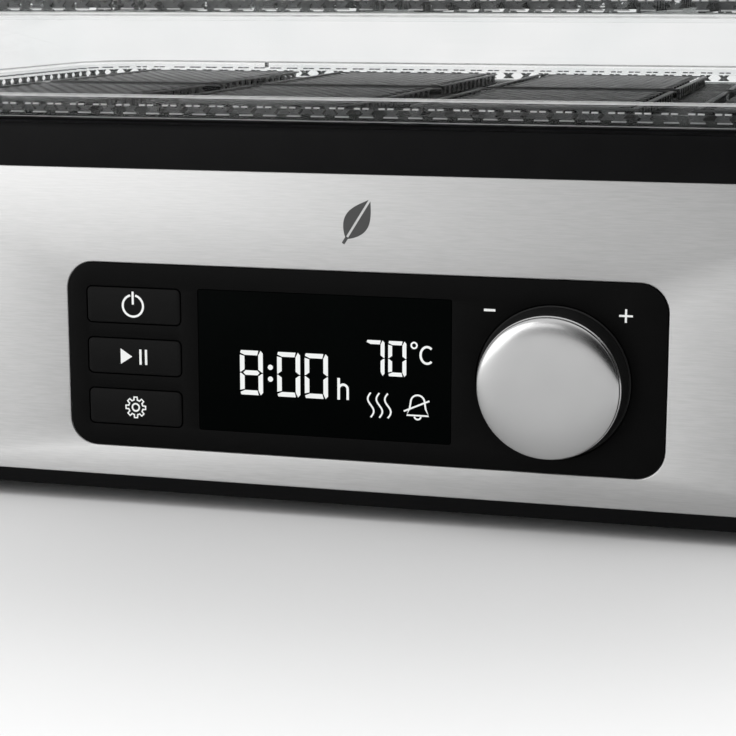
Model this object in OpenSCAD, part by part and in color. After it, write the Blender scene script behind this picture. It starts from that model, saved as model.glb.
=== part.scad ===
// Stacking food dehydrator: a heated fan base, five clear trays and a vented lid.
// Millimetres. +Z is up, the front faces -Y, and the origin is on the table under the middle of the base.

/* [Body] */
// Width of the base, side to side
body_w = 333; // [325:1:345]
// Depth of the base, front to back
body_d = 236; // [234:1:246]
// Radius of the base's upright corners
corner_r = 28; // [24:1:32]
// Height of the deck that the lowest tray stands on
deck_top = 100; // [100:1:112]
// Height of the rubber feet
foot_h = 4; // [3:0.5:5]
// Height of the black edge below the steel band
lower_edge = 3.6; // [3.6:0.1:4.2]
// Height of the black edge above the steel band
upper_edge = 11.9; // [11:0.1:13]
// Thickness of the steel band
steel_t = 1; // [0.8:0.1:1]

/* [Trays and lid] */
// Width of a tray
tray_w = 326; // [320:1:326]
// Depth of a tray
tray_d = 226; // [220:1:226]
// Radius of a tray's upright corners
tray_r = 26; // [24:1:28]
// Height from one tray to the next
tray_pitch = 26.4; // [24:0.1:34]
// Thickness of a tray's outer wall
tray_wall = 2; // [1.8:0.1:2.2]
// Height of the lid without its grip
lid_h = 17; // [16:0.5:22]

/* [Controls] */
// Width of the black control panel
fascia_w = 154.7; // [154:0.1:160]
// Height of the black control panel
fascia_h = 48; // [48:0.5:52]
// Height of the panel's centre above the table
fascia_z = 39.7; // [39:0.1:42]
// Width of the display window
window_w = 66.3; // [62:0.1:68]
// Height of the display window
window_h = 36.6; // [34:0.1:38]
// Width of a push button
button_w = 25.5; // [22:0.1:26]
// Height of a push button
button_h = 9.3; // [8:0.1:10]
// Distance from one button to the next
button_pitch = 13.35; // [13.2:0.05:13.8]
// Radius of the knob's metal cap
cap_r = 17.7; // [17:0.1:18]
// Distance that the knob stands out of the panel
knob_out = 9.6; // [8:0.1:12]

/* [Air] */
// Inner radius of the air duct
duct_r = 64; // [62:0.5:64]
// Radius of the fan
fan_r = 58; // [50:0.5:58]
// Number of fan blades
blade_count = 7; // [5:1:9]

/* [Hidden] */
$fn = 64;

bite = 0.5;         // how far joined shapes run into each other
through = 1;        // how far a cut runs past the face it opens
front_y = -body_d / 2;
rear_y = body_d / 2;

// Heights in the base
pan_z = foot_h;
band_z = pan_z + lower_edge;
band_top = deck_top - upper_edge;
deck_floor = deck_top - 10;
deck_plate = deck_top - 5.5;
floor_t = 3;
deck_under = deck_floor - floor_t;
rebate = 2.5;
recess_w = 296;
recess_d = 196;
recess_r = 20;
intake_r = 46;
intake_slot_w = 3.2;
intake_pitch = 8;

// Gap between the steel band and what stands inside it
skin_gap = 0.2;
inner_w = body_w - 2 * (steel_t + skin_gap);
inner_d = body_d - 2 * (steel_t + skin_gap);
inner_r = corner_r - steel_t - skin_gap;
upstand_t = 2.4;
upstand_h = 3.9;
deck_skirt = 10;

// Case screws and their pillars, near the four corners
pillar_x = 140;
pillar_y = 92;
pillar_r = 4.5;
foot_x = 120;
foot_r = 9;
stem_r = 3;
fit_gap = 0.05;
screw_r = 1.5;
small_screw_r = 1.2;
thread_gap = 0.02;
case_hole_r = 1.9;
case_head_r = 3.3;
head_seat_r = 3.6;
head_seat_h = 1.8;
board_hole_r = 1.4;
board_head_r = 2.6;
board_head_h = 1.8;
bracket_screw_at = 54;
motor_screw_at = 14;
small_head_r = 2.4;
small_head_h = 1.6;
screw_colour = [0.6, 0.6, 0.6];

// Layers of the control panel, counted back from its front
fascia_proud = 0.2;
fascia_t = 3;
fascia_r = 7;
fascia_flange = 3.65;
fascia_y = front_y - fascia_proud;
fascia_back = fascia_y + fascia_t;
board_y = front_y + 11.6;
board_t = 1.6;
board_half = 80;
boss_r = 2.5;
boss_x = 77;
boss_z = [19.5, 60];

// Places on the control panel
window_x = -8.65;
window_z = 39.6;
window_t = 2;
window_ledge = 2.2;
lcd_w = 60;
lcd_h = 31;
button_x = -59.25;
button_z = 39.5;
button_gap = 0.2;
button_travel = 0.5;
plunger_r = 1.5;
switch_w = 6;
switch_h = 3.5;
switch_stem_r = 1.7;
stem_h = 0.4;
knob_x = 49.85;
knob_z = 38.5;
skirt_r = 19;
skirt_recess_r = 19.3;
skirt_recess = 1.2;
shaft_r = 3;
bushing_r = 4.4;
encoder_d = 6.5;
encoder_w = 12;
cap_t = 1.15;
cap_h = 3;
cap_back = knob_out - cap_h;

// Power board
pb_x = [-152, -72];
pb_y = [-60, 45];
standoff_h = 6.4;
standoff_inset = 4;
standoff_r = 3;
pb_z = band_z + standoff_h;
pb_top = pb_z + board_t;
ribbon_t = 0.8;
ribbon_w = 7;

// Fan, heater and duct, from the pan upwards
duct_t = 2;
duct_z = 14;
duct_flange = 9;
flange_t = 2;
duct_screw_r = duct_r + duct_t + 4.5;
bracket_z = 24;
bracket_t = 2;
toe_t = 1.6;
motor_r = 21;
motor_h = 20;
motor_z = bracket_z + bracket_t;
motor_shaft_r = 2;
hub_r = 13;
hub_z = motor_z + motor_h + 2;
hub_h = 12;
ledge_z = 64;
ledge_w = 4;
coil_radii = [22, 36, 50];
coil_wire = 1.1;
coil_z = 75;
mica_t = 1;
mica_h = 15;
grille_hole_r = 60;
sensor_x = 95;
sensor_r = 2.5;
sensor_flange_r = 5;
sensor_above = 5;
sensor_below = 12;
grille_slot_w = 3.2;
grille_flange = 6;
grille_t = 1.4;

// Cable gland
gland_x = -110;
gland_z = 24;
gland_bore = 3.6;
gland_neck = 8;

// Tray sections, counted up from the tray's underside
tray_gap = 0.3;
lip_drop = 1.5;
lip_gap = 0.4;
lip_t = 1.4;
basket_inset = 4.6;
basket_t = 1.4;
basket_h = 6.1;
web_z = 0.4;
web_t = 1.2;
island_z = 2.5;
island_h = 3.5;
island_w = 58;
island_d = 88;
island_wall = 1.2;
island_pitch = [72, 98];
island_columns = 4;
island_rows = 2;
slot_w = 3.2;
slot_l = 76;
slot_count = 7;
slot_pitch = 7.4;

// Lid
lid_z = deck_top + 5 * tray_pitch;
lid_step = 12;
lid_t = 2;
lid_inset = 4;
vent_w = 122;
vent_d = 50;
vent_r = 10;
vent_flange = 7;
vent_t = 2;
vent_slots = 11;
vent_slot_pitch = 10;
vent_slot_w = 4.2;
vent_slot_l = 14;
vent_row_y = 16;
grip_w = 100;
grip_d = 14;
grip_h = 11.6;
grip_screw_x = 38;

// ---------- shared shapes ----------

// Flat rectangle with round corners, centred
module round_rect(w, d, r) {
    square([w - 2 * r, d], center = true);
    square([w, d - 2 * r], center = true);
    for (sx = [-1, 1], sy = [-1, 1])
        translate([sx * (w / 2 - r), sy * (d / 2 - r)]) circle(r);
}

// Upright slab from z0 to z1 with round corners
module slab(w, d, r, z0, z1) {
    translate([0, 0, z0]) linear_extrude(z1 - z0) round_rect(w, d, r);
}

// Upright ring of wall t from z0 to z1 with round corners
module wall_ring(w, d, r, t, z0, z1) {
    translate([0, 0, z0]) linear_extrude(z1 - z0) difference() {
        round_rect(w, d, r);
        round_rect(w - 2 * t, d - 2 * t, r - t);
    }
}

// Plate facing the front, from y0 back to y1, with round corners
module face_plate(x, z, w, h, r, y0, y1) {
    translate([x, y1, z]) rotate([90, 0, 0]) linear_extrude(y1 - y0) round_rect(w, h, r);
}

// Cylinder along Y from y0 to y1
module y_cylinder(x, z, r, y0, y1) {
    translate([x, y1, z]) rotate([90, 0, 0]) cylinder(h = y1 - y0, r = r);
}

// Upright cylinder from z0 to z1
module post(x, y, r, z0, z1) {
    translate([x, y, z0]) cylinder(h = z1 - z0, r = r);
}

// Box from its lowest to its highest corner
module box(low, high) {
    translate(low) cube(high - low);
}

// Its children at each of the four corners (x, y)
module at_corners(x, y) {
    for (sx = [-1, 1], sy = [-1, 1]) translate([sx * x, sy * y, 0]) children();
}

// Its children at three places round the Z axis, at radius r
module at_thirds(r, first = 30) {
    for (k = [0:2]) rotate(first + 120 * k) translate([r, 0, 0]) children();
}

// Its children at the power board's four standoffs
module at_standoffs() {
    for (x = pb_x + [standoff_inset, -standoff_inset], y = pb_y + [standoff_inset, -standoff_inset])
        translate([x, y, 0]) children();
}

// Upright screw with its head below, from the head's underside at z
module screw_up(z, head_r, head_h, shank_r, shank_h) {
    post(0, 0, head_r, z, z + head_h);
    post(0, 0, shank_r, z + head_h - bite, z + head_h + shank_h);
}

// ---------- base ----------

module rubber_feet() {
    color([0.16, 0.16, 0.16]) at_corners(foot_x, pillar_y) {
        post(0, 0, foot_r, 0, foot_h);
        post(0, 0, stem_r, foot_h - bite, band_z + 1);
    }
}

module intake_slots() {
    for (k = [-5:5]) {
        middle = intake_pitch * k;
        half = sqrt(pow(intake_r, 2) - pow(middle, 2));
        box([middle - intake_slot_w / 2, -half, pan_z - through],
            [middle + intake_slot_w / 2, half, band_z + through]);
    }
}

module bottom_pan() {
    color([0.08, 0.08, 0.09]) difference() {
        union() {
            slab(body_w, body_d, corner_r, pan_z, band_z);
            wall_ring(inner_w, inner_d, inner_r, upstand_t, band_z - bite, band_z + upstand_h);
            at_standoffs() post(0, 0, standoff_r, band_z - bite, pb_z);
        }
        intake_slots();
        at_corners(foot_x, pillar_y) post(0, 0, stem_r + fit_gap, pan_z - through, band_z + through);
        at_corners(pillar_x, pillar_y) {
            post(0, 0, case_hole_r, pan_z - through, band_z + through);
            post(0, 0, head_seat_r, pan_z - through, pan_z + head_seat_h);
        }
        at_standoffs() post(0, 0, small_screw_r + thread_gap, band_z + 1.4, pb_z + through);
        at_thirds(bracket_screw_at) post(0, 0, small_screw_r + thread_gap, pan_z + 1.2, band_z + through);
    }
}

module steel_band() {
    color([0.75, 0.75, 0.74]) difference() {
        wall_ring(body_w, body_d, corner_r, steel_t, band_z, band_top);
        face_plate(0, fascia_z, fascia_w + 0.2, fascia_h + 0.2, fascia_r + 0.1,
            front_y - through, front_y + steel_t + through);
        y_cylinder(gland_x, gland_z, gland_neck + fit_gap, rear_y - steel_t - through, rear_y + through);
    }
}

module top_deck() {
    color([0.08, 0.08, 0.09]) difference() {
        union() {
            wall_ring(body_w, body_d, corner_r, floor_t, band_top, deck_top);
            slab(body_w - bite, body_d - bite, corner_r - bite / 2, deck_plate, deck_top);
            slab(recess_w + 2 * floor_t, recess_d + 2 * floor_t, recess_r + floor_t,
                deck_under, deck_plate + bite);
            wall_ring(inner_w, inner_d, inner_r, upstand_t, band_top - deck_skirt, band_top + 2);
            at_corners(pillar_x, pillar_y) post(0, 0, pillar_r, band_z, deck_under + 1);
        }
        slab(tray_w - 2 * tray_wall, tray_d - 2 * tray_wall, tray_r - tray_wall,
            deck_top - rebate, deck_top + through);
        slab(recess_w, recess_d, recess_r, deck_floor, deck_top + through);
        post(0, 0, grille_hole_r, deck_under - through, deck_floor + through);
        post(sensor_x, 0, sensor_r + 0.1, deck_under - through, deck_floor + through);
        at_corners(pillar_x, pillar_y) post(0, 0, screw_r + thread_gap, band_z - through, band_z + 18);
        at_thirds(duct_screw_r) post(0, 0, screw_r + thread_gap, deck_under - through, deck_floor - 0.8);
    }
}

// Radial slots between two radii
module radial_slots(count, r0, r1, w, z0, z1) {
    for (k = [0:count - 1]) rotate(360 / count * k) box([r0, -w / 2, z0], [r1, w / 2, z1]);
}

module outlet_grille() {
    color([0.12, 0.12, 0.13]) difference() {
        union() {
            post(0, 0, grille_hole_r - 0.2, deck_under + 1, deck_floor + bite);
            post(0, 0, grille_hole_r + grille_flange, deck_floor, deck_floor + grille_t);
        }
        radial_slots(20, 15, 33, grille_slot_w, deck_under, deck_floor + 2);
        radial_slots(36, 37, 57, grille_slot_w + 0.2, deck_under, deck_floor + 2);
    }
}

module temp_sensor() {
    color([0.7, 0.7, 0.72]) {
        post(sensor_x, 0, sensor_flange_r, deck_floor, deck_floor + 1.2);
        post(sensor_x, 0, sensor_r, deck_floor - sensor_below, deck_floor + sensor_above);
    }
}

// ---------- control panel ----------

module control_fascia() {
    color([0.06, 0.06, 0.06]) difference() {
        union() {
            face_plate(0, fascia_z, fascia_w, fascia_h, fascia_r, fascia_y, fascia_back);
            face_plate(0, fascia_z, fascia_w + 2 * fascia_flange, fascia_h + 2 * fascia_flange,
                fascia_r + fascia_flange, front_y + steel_t, fascia_back);
            for (sx = [-1, 1], z = boss_z) y_cylinder(sx * boss_x, z, boss_r, fascia_back - bite, board_y);
        }
        face_plate(window_x, window_z, window_w, window_h, 0.6, fascia_y - through, fascia_y + window_t);
        face_plate(window_x, window_z, window_w - 2 * window_ledge, window_h - 2 * window_ledge, 0.6,
            fascia_y, fascia_back + through);
        for (k = [-1:1])
            face_plate(button_x, button_z + k * button_pitch,
                button_w + 2 * button_gap, button_h + 2 * button_gap, 1.5,
                fascia_y - through, fascia_back + through);
        y_cylinder(knob_x, knob_z, skirt_recess_r, fascia_y - through, fascia_y + skirt_recess);
        y_cylinder(knob_x, knob_z, bushing_r + 0.2, fascia_y, fascia_back + through);
        for (sx = [-1, 1], z = boss_z)
            y_cylinder(sx * boss_x, z, small_screw_r + thread_gap, fascia_back + 2, board_y + through);
    }
}

module display_window() {
    color([0.02, 0.02, 0.02])
        face_plate(window_x, window_z, window_w - 0.2, window_h - 0.2, 0.5, fascia_y, fascia_y + window_t);
}

module lcd_module() {
    color([0.25, 0.25, 0.27])
        box([window_x - lcd_w / 2, fascia_back + 0.3, window_z - lcd_h / 2],
            [window_x + lcd_w / 2, board_y, window_z + lcd_h / 2]);
}

module display_board() {
    color([0.1, 0.35, 0.2]) difference() {
        box([-board_half, board_y, boss_z[0] - 2.5], [board_half, board_y + board_t, boss_z[1] + 2.5]);
        for (sx = [-1, 1], z = boss_z)
            y_cylinder(sx * boss_x, z, board_hole_r, board_y - through, board_y + board_t + through);
    }
}

module tact_switches() {
    color([0.3, 0.3, 0.32]) for (k = [-1:1]) translate([button_x, board_y, button_z + k * button_pitch]) {
        translate([-switch_w / 2, -switch_h, -switch_w / 2]) cube([switch_w, switch_h, switch_w]);
        rotate([90, 0, 0]) cylinder(h = switch_h + stem_h, r = switch_stem_r);
    }
}

// Push button number k, counted up from the middle one
module push_button(k) {
    z = button_z + k * button_pitch;
    flange_y = fascia_back + 0.1;
    plunger_end = board_y - switch_h - stem_h - 0.1 - button_travel;
    color([0.09, 0.09, 0.09]) {
        face_plate(button_x, z, button_w, button_h, 1.3, fascia_y - 0.1, flange_y + bite);
        face_plate(button_x, z, button_w + 2.4, button_h + 2.2, 1.5, flange_y, flange_y + 1);
        y_cylinder(button_x, z, plunger_r, flange_y, plunger_end);
    }
}

module encoder_body() {
    color([0.45, 0.45, 0.47]) difference() {
        union() {
            translate([knob_x - encoder_w / 2, board_y - encoder_d, knob_z - encoder_w / 2])
                cube([encoder_w, encoder_d, encoder_w]);
            y_cylinder(knob_x, knob_z, bushing_r, board_y - encoder_d - 3, board_y - encoder_d + bite);
        }
        y_cylinder(knob_x, knob_z, shaft_r + fit_gap, board_y - encoder_d - 3 - through, board_y - 1.6);
    }
}

module encoder_shaft() {
    color([0.7, 0.7, 0.7]) y_cylinder(knob_x, knob_z, shaft_r, front_y - 5.5, board_y - 1.8);
}

module knob_skirt() {
    cap_inner = cap_r - cap_t;
    color([0.1, 0.1, 0.1]) difference() {
        union() {
            y_cylinder(knob_x, knob_z, skirt_r, fascia_y - bite, fascia_y + skirt_recess - 0.35);
            translate([knob_x, fascia_y, knob_z]) rotate([90, 0, 0])
                cylinder(h = fascia_y - (front_y - cap_back), r1 = skirt_r, r2 = cap_r - 0.3);
            y_cylinder(knob_x, knob_z, cap_inner - fit_gap,
                front_y - knob_out + 1.4, front_y - cap_back + bite);
        }
        y_cylinder(knob_x, knob_z, shaft_r + 0.04, front_y - 5.7, fascia_y + skirt_recess);
    }
}

module knob_cap() {
    color([0.85, 0.85, 0.85]) difference() {
        y_cylinder(knob_x, knob_z, cap_r, front_y - knob_out, front_y - cap_back);
        y_cylinder(knob_x, knob_z, cap_r - cap_t, front_y - knob_out + 1.35, front_y - cap_back + through);
    }
}

// ---------- electronics in the base ----------

module power_board() {
    color([0.1, 0.35, 0.2]) difference() {
        box([pb_x[0], pb_y[0], pb_z], [pb_x[1], pb_y[1], pb_top]);
        at_standoffs() post(0, 0, board_hole_r, pb_z - through, pb_top + through);
    }
}

// Block standing on the power board, from its corner (x, y)
module board_block(x, y, size) {
    translate([x, y, pb_top]) cube(size);
}

// Coil between two core plates
module transformer() {
    core = [32, 6, 24];
    coil = [26, 17, 27];
    x = -140;
    y = 2;
    color([0.85, 0.75, 0.2]) {
        board_block(x, y, core);
        board_block(x, y + core[1] + coil[1] - 2 * bite, core);
        board_block(x + (core[0] - coil[0]) / 2, y + core[1] - bite, coil);
    }
}

module relay() {
    color([0.1, 0.3, 0.75]) board_block(-146, -44, [20, 16, 16]);
}

module filter_capacitor() {
    can_r = 8;
    can_h = 22;
    color([0.15, 0.15, 0.4]) post(-92, -24, can_r, pb_top, pb_top + can_h);
}

module terminal_block() {
    size = [30, 12, 14];
    poles = 4;
    x = -146;
    y = -16;
    color([0.15, 0.5, 0.25]) difference() {
        board_block(x, y, size);
        for (k = [0:poles - 1])
            post(x + size[0] / poles * (k + 0.5), y + size[1] / 2, 2, pb_top + 6, pb_top + size[2] + through);
    }
}

module ribbon_cable() {
    z_out = 30;
    z_low = pb_top + 4.4;
    y_out = board_y + board_t;
    y_bend = [-98, -90];
    y_down = -45.2;
    path = [
        [y_out, z_out], [y_bend[0], z_out], [y_bend[1], z_low], [y_down, z_low], [y_down, pb_top],
        [y_down - ribbon_t, pb_top], [y_down - ribbon_t, z_low - ribbon_t],
        [y_bend[1] - ribbon_t / 2, z_low - ribbon_t], [y_bend[0] - ribbon_t / 2, z_out - ribbon_t],
        [y_out, z_out - ribbon_t]
    ];
    color([0.6, 0.6, 0.62]) translate([pb_x[1] - ribbon_w, 0, 0])
        rotate([90, 0, 90]) linear_extrude(ribbon_w) polygon(path);
}

// ---------- fan and heater ----------

module air_duct() {
    color([0.68, 0.69, 0.7]) difference() {
        union() {
            post(0, 0, duct_r + duct_t, duct_z, deck_under);
            post(0, 0, duct_r + duct_t + duct_flange, deck_under - flange_t, deck_under);
        }
        post(0, 0, duct_r, duct_z - through, ledge_z);
        post(0, 0, duct_r - ledge_w, ledge_z - through, ledge_z + 3);
        post(0, 0, duct_r, ledge_z + 2, deck_under + through);
        at_thirds(duct_screw_r)
            post(0, 0, screw_r + 0.2, deck_under - flange_t - through, deck_under + through);
    }
}

module motor_bracket() {
    leg_r = 60;
    arm_w = 10;
    plate_r = motor_r + 3;
    toe = 10;
    color([0.6, 0.6, 0.62]) difference() {
        union() {
            post(0, 0, plate_r, bracket_z, motor_z);
            for (k = [0:2]) rotate(30 + 120 * k) {
                box([motor_r - 1, -arm_w / 2, bracket_z], [leg_r, arm_w / 2, motor_z]);
                box([leg_r - bracket_t, -arm_w / 2, band_z], [leg_r, arm_w / 2, motor_z]);
                box([leg_r - toe, -arm_w / 2, band_z], [leg_r, arm_w / 2, band_z + toe_t]);
            }
        }
        post(0, 0, 5, bracket_z - through, motor_z + through);
        at_thirds(motor_screw_at) post(0, 0, board_hole_r, bracket_z - through, motor_z + through);
        at_thirds(bracket_screw_at) post(0, 0, board_hole_r, band_z - through, band_z + toe_t + through);
    }
}

module fan_motor() {
    color([0.5, 0.5, 0.52]) difference() {
        union() {
            post(0, 0, motor_r, motor_z, motor_z + motor_h);
            post(0, 0, 6, motor_z + motor_h - bite, motor_z + motor_h + 1.5);
        }
        post(0, 0, motor_shaft_r + fit_gap, motor_z - through, motor_z + motor_h + 3);
        at_thirds(motor_screw_at) post(0, 0, small_screw_r + thread_gap, motor_z - through, motor_z + 3.2);
    }
}

module motor_shaft() {
    color([0.8, 0.8, 0.8]) post(0, 0, motor_shaft_r, bracket_z + 1, hub_z + hub_h);
}

module fan_impeller() {
    blade_tilt = 32;
    blade_t = 1.8;
    color([0.2, 0.2, 0.22]) difference() {
        union() {
            post(0, 0, hub_r, hub_z, hub_z + hub_h);
            for (k = [0:blade_count - 1]) rotate(360 / blade_count * k)
                translate([(hub_r - 1 + fan_r) / 2, 0, hub_z + hub_h / 2]) rotate([blade_tilt, 0, 0])
                    cube([fan_r - hub_r, blade_t, hub_h], center = true);
        }
        post(0, 0, motor_shaft_r + thread_gap, hub_z - through, hub_z + hub_h + through);
    }
}

module heater_frame() {
    board_l = 2 * (duct_r - 1.4);
    seat_z = ledge_z + 2;
    color([0.8, 0.72, 0.55]) difference() {
        union() {
            difference() {
                post(0, 0, duct_r - 0.2, seat_z, seat_z + 2);
                post(0, 0, duct_r - 2.5, seat_z - through, seat_z + 2 + through);
            }
            for (a = [0, 90]) rotate(a) box([-board_l / 2, -mica_t / 2, seat_z + 1],
                [board_l / 2, mica_t / 2, seat_z + 1 + mica_h]);
        }
        for (a = [0, 90], r = coil_radii, s = [-1, 1]) rotate(a)
            y_cylinder(s * r, coil_z, coil_wire + 0.1, -mica_t, mica_t);
    }
}

module heater_coil() {
    color([0.55, 0.5, 0.48]) for (r = coil_radii)
        translate([0, 0, coil_z]) rotate_extrude() translate([r, 0]) circle(coil_wire);
}

module thermal_cutout() {
    color([0.85, 0.85, 0.8]) box([-34, mica_t / 2, 69], [-24, mica_t / 2 + 6, 80]);
}

module cable_gland() {
    nut_r = 10.5;
    nut_t = 4;
    collar_r = 11;
    collar_t = 2;
    tip_r = 5.6;
    inner_y = rear_y - steel_t;
    color([0.1, 0.1, 0.1]) difference() {
        union() {
            y_cylinder(gland_x, gland_z, nut_r, inner_y - nut_t, inner_y);
            y_cylinder(gland_x, gland_z, gland_neck, inner_y - bite, rear_y + bite);
            y_cylinder(gland_x, gland_z, collar_r, rear_y, rear_y + collar_t);
            translate([gland_x, rear_y + collar_t - bite, gland_z]) rotate([-90, 0, 0])
                cylinder(h = knob_out - collar_t + bite, r1 = gland_neck, r2 = tip_r);
        }
        y_cylinder(gland_x, gland_z, gland_bore, inner_y - nut_t - through, rear_y + knob_out + through);
    }
}

// ---------- screws ----------

module case_screws() {
    color(screw_colour) at_corners(pillar_x, pillar_y) screw_up(pan_z + 0.2, case_head_r, 1.6, screw_r, 18);
}

module duct_screws() {
    color(screw_colour) at_thirds(duct_screw_r) screw_up(deck_under - flange_t - 2, 3, 2, screw_r, 4);
}

module board_screws() {
    color(screw_colour) for (sx = [-1, 1], z = boss_z) {
        y_cylinder(sx * boss_x, z, board_head_r, board_y + board_t, board_y + board_t + board_head_h);
        y_cylinder(sx * boss_x, z, small_screw_r, board_y - 5, board_y + board_t + bite);
    }
}

module power_board_screws() {
    color(screw_colour) at_standoffs() {
        post(0, 0, board_head_r, pb_top, pb_top + board_head_h);
        post(0, 0, small_screw_r, band_z + 1.6, pb_top + bite);
    }
}

module motor_screws() {
    color(screw_colour) at_thirds(motor_screw_at)
        screw_up(bracket_z - small_head_h, small_head_r, small_head_h, small_screw_r, 5);
}

module bracket_screws() {
    color(screw_colour) at_thirds(bracket_screw_at) {
        post(0, 0, small_head_r, band_z + toe_t, band_z + toe_t + small_head_h);
        post(0, 0, small_screw_r, pan_z + 1.4, band_z + toe_t + bite);
    }
}

module grip_screws() {
    color(screw_colour) for (s = [-1, 1]) translate([s * grip_screw_x, 0, 0])
        screw_up(lid_z + lid_h - lid_t - 1.6, 3, 1.6, screw_r, 10);
}

// ---------- trays ----------

// Its children at each island's centre
module at_islands() {
    for (i = [0:island_columns - 1], j = [0:island_rows - 1])
        translate([
            (i - (island_columns - 1) / 2) * island_pitch[0],
            (j - (island_rows - 1) / 2) * island_pitch[1]
        ]) children();
}

module island_slots() {
    for (k = [0:slot_count - 1]) translate([(k - (slot_count - 1) / 2) * slot_pitch, 0])
        square([slot_w, slot_l], center = true);
}

// Raised drying surfaces on a thin web, on top of which the food lies
module tray_floor() {
    basket_w = tray_w - 2 * basket_inset;
    basket_d = tray_d - 2 * basket_inset;
    hollow = [island_w - 2 * island_wall, island_d - 2 * island_wall];
    translate([0, 0, web_z]) linear_extrude(web_t) difference() {
        round_rect(basket_w - bite, basket_d - bite, tray_r - basket_inset - bite / 2);
        at_islands() square(hollow, center = true);
    }
    translate([0, 0, web_z]) linear_extrude(island_h - web_z) at_islands() difference() {
        square([island_w, island_d], center = true);
        square(hollow, center = true);
    }
    translate([0, 0, island_z]) linear_extrude(island_h - island_z) at_islands() difference() {
        square([island_w, island_d], center = true);
        island_slots();
    }
}

// Ring that drops inside the wall of the tray below, joined to the wall by a ledge at height z
module locating_lip(z) {
    lip_w = tray_w - 2 * (tray_wall + lip_gap);
    lip_d = tray_d - 2 * (tray_wall + lip_gap);
    wall_ring(lip_w, lip_d, tray_r - tray_wall - lip_gap, lip_t, -lip_drop, z);
}

// Tray number k, counted up from the base
module tray(k) {
    ledge_t = 1;
    reach = basket_inset + basket_t - tray_wall + bite;
    color([0.85, 0.9, 0.92, 0.5]) translate([0, 0, deck_top + (k - 1) * tray_pitch]) {
        wall_ring(tray_w, tray_d, tray_r, tray_wall, tray_gap, tray_pitch);
        wall_ring(tray_w - 2 * tray_wall + 2 * bite, tray_d - 2 * tray_wall + 2 * bite,
            tray_r - tray_wall + bite, reach, basket_h - ledge_t, basket_h);
        locating_lip(basket_h - ledge_t / 2);
        wall_ring(tray_w - 2 * basket_inset, tray_d - 2 * basket_inset, tray_r - basket_inset, basket_t,
            web_z, basket_h - ledge_t / 2);
        tray_floor();
    }
}

// ---------- lid ----------

module lid() {
    top_w = tray_w - 2 * lid_inset;
    top_d = tray_d - 2 * lid_inset;
    color([0.85, 0.9, 0.92, 0.5]) translate([0, 0, lid_z]) difference() {
        union() {
            wall_ring(tray_w, tray_d, tray_r, tray_wall, tray_gap, lid_step);
            locating_lip(2);
            wall_ring(tray_w - tray_wall, tray_d - tray_wall, tray_r - tray_wall / 2, tray_wall, 1, 2);
            wall_ring(tray_w, tray_d, tray_r, lid_inset + lid_t, lid_step - lid_t, lid_step);
            slab(top_w, top_d, tray_r - lid_inset, lid_step - lid_t, lid_h);
        }
        slab(top_w - 2 * lid_t, top_d - 2 * lid_t, tray_r - lid_inset - lid_t,
            lid_step - lid_t - through, lid_h - lid_t);
        slab(vent_w, vent_d, vent_r, lid_h - lid_t - through, lid_h + through);
    }
}

module lid_vent() {
    color([0.1, 0.1, 0.1]) translate([0, 0, lid_z + lid_h]) difference() {
        union() {
            slab(vent_w - 0.4, vent_d - 0.4, vent_r - 0.2, -lid_t, bite);
            slab(vent_w + 2 * vent_flange, vent_d + 2 * vent_flange, vent_r + vent_flange, 0, vent_t);
        }
        for (k = [0:vent_slots - 1], s = [-1, 1])
            translate([(k - (vent_slots - 1) / 2) * vent_slot_pitch, s * vent_row_y, 0])
                box([-vent_slot_w / 2, -vent_slot_l / 2, -lid_t - through],
                    [vent_slot_w / 2, vent_slot_l / 2, vent_t + through]);
        for (s = [-1, 1]) post(s * grip_screw_x, 0, 1.7, -lid_t - through, vent_t + through);
    }
}

module lid_grip() {
    grip_z = lid_z + lid_h + vent_t;
    color([0.1, 0.1, 0.1]) difference() {
        slab(grip_w, grip_d, grip_d / 2 - 0.1, grip_z, grip_z + grip_h);
        for (s = [-1, 1]) post(s * grip_screw_x, 0, screw_r + thread_gap, grip_z - through, grip_z + 6.5);
    }
}

rubber_feet();
bottom_pan();
steel_band();
top_deck();
outlet_grille();
control_fascia();
display_window();
lcd_module();
display_board();
tact_switches();
push_button(1);  // power_button
push_button(0);  // start_button
push_button(-1);  // set_button
encoder_body();
encoder_shaft();
knob_skirt();
knob_cap();
power_board();
transformer();
relay();
filter_capacitor();
terminal_block();
ribbon_cable();
air_duct();
motor_bracket();
fan_motor();
motor_shaft();
fan_impeller();
heater_frame();
heater_coil();
thermal_cutout();
temp_sensor();
cable_gland();
case_screws();
duct_screws();
board_screws();
power_board_screws();
motor_screws();
bracket_screws();
tray(1);  // tray_1
tray(2);  // tray_2
tray(3);  // tray_3
tray(4);  // tray_4
tray(5);  // tray_5
lid();
lid_vent();
lid_grip();
grip_screws();
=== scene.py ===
"""Looks of a stacking food dehydrator: steel fan base, clear nesting trays and a vented lid."""
import math

import bmesh
import bpy
from mathutils import Matrix, Vector


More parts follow.
